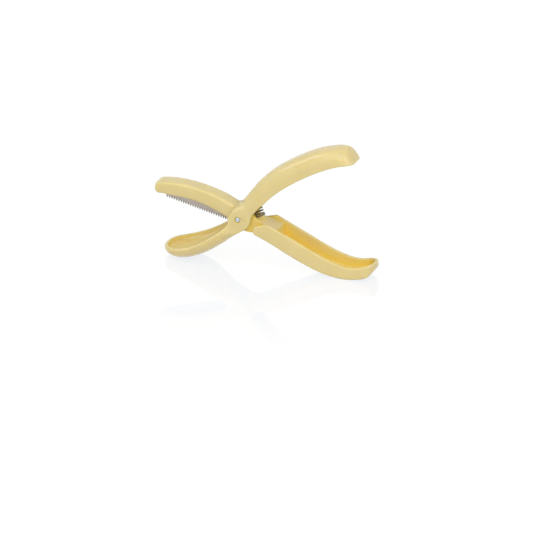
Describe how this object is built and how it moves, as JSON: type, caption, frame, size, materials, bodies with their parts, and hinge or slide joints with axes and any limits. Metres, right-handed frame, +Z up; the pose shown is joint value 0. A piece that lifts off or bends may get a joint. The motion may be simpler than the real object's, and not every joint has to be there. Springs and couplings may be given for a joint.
{
  "type": "chestnut cutter",
  "caption": "Hand cutter for chestnuts: crossed plastic levers on a steel rivet, with a spoon-shaped cup under a toothed blade jaw, held open by a coil spring between the handles.",
  "frame": {"origin": "on the floor plane, under the middle of the tool's length and width, with the levers held open by the spring", "axes": "+X along the tool from the cup and jaw towards the handles, +Y across it from the rivet's head to its washer, +Z up"},
  "size_m": [0.1714, 0.041, 0.0987],
  "materials": {
    "lever_plastic": "pale cream-yellow, semi-gloss, moulded",
    "blade_steel": "satin, ground",
    "rivet_steel": "bright, plated",
    "spring_steel": "drawn wire"
  },
  "bodies": {
    "cup_body": {"cup_lever": "lever_plastic", "pivot_rivet": "rivet_steel", "rivet_washer": "rivet_steel", "opening_spring": "spring_steel"},
    "blade_body": {"blade_lever": "lever_plastic", "serrated_blade": "blade_steel"}
  },
  "joints": [
    {"name": "pivot", "type": "hinge", "parent": "cup_body", "child": "blade_body", "pos_m": [-0.01868, 0, 0.0363], "axis": [0, -1, 0], "range_deg": [0, 35], "stiffness_Nm_per_rad": 0.3, "springref_deg": -20.05, "deforming": ["opening_spring"]}
  ]
}
